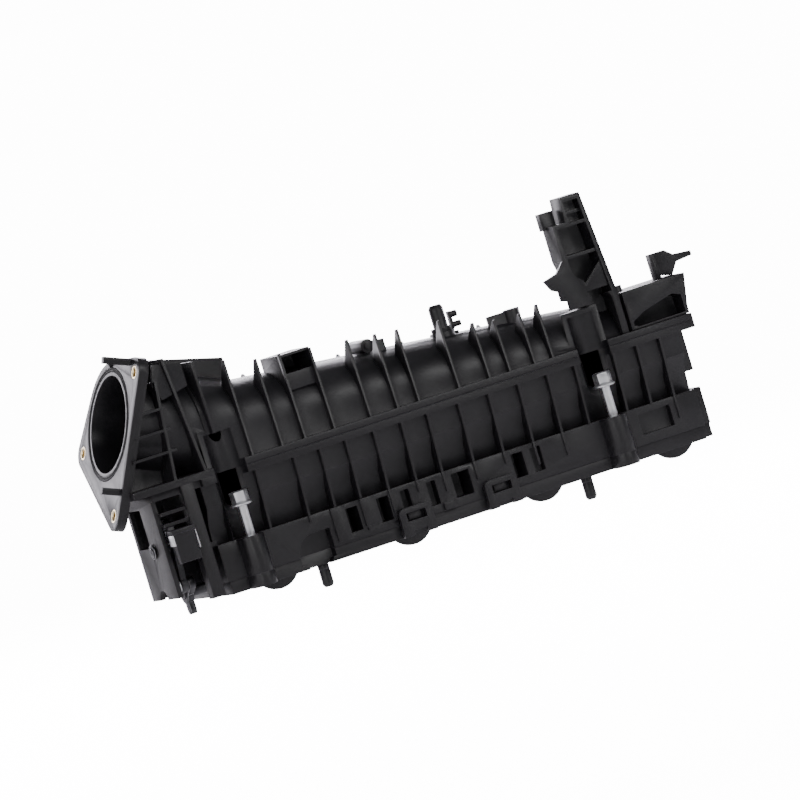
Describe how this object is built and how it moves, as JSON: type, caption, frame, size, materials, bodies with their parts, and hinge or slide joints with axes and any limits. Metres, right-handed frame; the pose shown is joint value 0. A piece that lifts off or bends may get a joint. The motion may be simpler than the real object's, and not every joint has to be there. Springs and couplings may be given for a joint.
{
  "type": "intake manifold",
  "caption": "Moulded engine intake manifold with a ribbed tapered plenum, oblique throttle flange, swirl flaps on one shaft, linkage bay, captive bolts and harness brackets.",
  "frame": {"origin": "middle of the flap ports on the sealing face of the port flange", "axes": "+X along the engine away from the throttle, +Z away from the cylinder head, +Y to the rear"},
  "size_m": [0.414, 0.1106, 0.1818],
  "materials": {
    "moulded_plastic": "satin moulded black plastic",
    "seal_rubber": "matt moulded rubber",
    "insert_brass": "turned brass",
    "zinc_plate": "bright zinc plating",
    "dark_steel": "ground steel",
    "natural_nylon": "dark grey plastic"
  },
  "bodies": {
    "manifold": {"upper_shell": "moulded_plastic", "lower_shell": "moulded_plastic", "port_rail": "moulded_plastic", "seal_plate": "moulded_plastic", "tall_bracket": "moulded_plastic", "harness_box": "moulded_plastic", "hook_clip": "moulded_plastic", "vent_stub": "moulded_plastic", "locating_pins": "moulded_plastic", "shaft_end_cap": "moulded_plastic", "crank_cover": "moulded_plastic", "flap_port_seals": "seal_rubber", "plain_port_seals": "seal_rubber", "throttle_seal": "seal_rubber", "bolt_retainers": "seal_rubber", "throttle_inserts": "insert_brass", "bolt_sleeves": "zinc_plate", "cover_spring": "zinc_plate", "pivot_pin": "dark_steel", "pivot_clips": "dark_steel", "shaft_bushes": "natural_nylon"},
    "flap_set": {"flap_shaft": "dark_steel", "flap_1": "moulded_plastic", "flap_2": "moulded_plastic", "flap_3": "moulded_plastic", "flap_4": "moulded_plastic", "shaft_crank": "dark_steel", "crank_pin": "zinc_plate"},
    "bell": {"bell_crank": "dark_steel", "bell_pin": "zinc_plate", "drive_ball": "zinc_plate"},
    "link": {"drive_link": "natural_nylon"},
    "left_bolt": {"bolt_left": "zinc_plate"},
    "right_bolt": {"bolt_right": "zinc_plate"}
  },
  "joints": [
    {"name": "flap_turn", "type": "hinge", "parent": "manifold", "child": "flap_set", "pos_m": [0, 0, 0.008], "axis": [1, 0, 0], "range_deg": [0, 84]},
    {"name": "bell_turn", "type": "hinge", "parent": "manifold", "child": "bell", "pos_m": [-0.196, -0.006, 0.038], "axis": [1, 0, 0], "range_deg": [0, 84]},
    {"name": "link_turn", "type": "hinge", "parent": "flap_set", "child": "link", "pos_m": [-0.2, -0.01032, 0.01413], "axis": [1, 0, 0], "range_deg": [-84, 0]},
    {"name": "left_bolt_slide", "type": "slide", "parent": "manifold", "child": "left_bolt", "axis": [0, 0, 1], "range_m": [-0.0189, 0]},
    {"name": "right_bolt_slide", "type": "slide", "parent": "manifold", "child": "right_bolt", "axis": [0, 0, 1], "range_m": [-0.0189, 0]}
  ],
  "couplings": [
    {"joint": "bell_turn", "follows": "flap_turn", "ratio": 1},
    {"joint": "link_turn", "follows": "flap_turn", "ratio": -1}
  ]
}
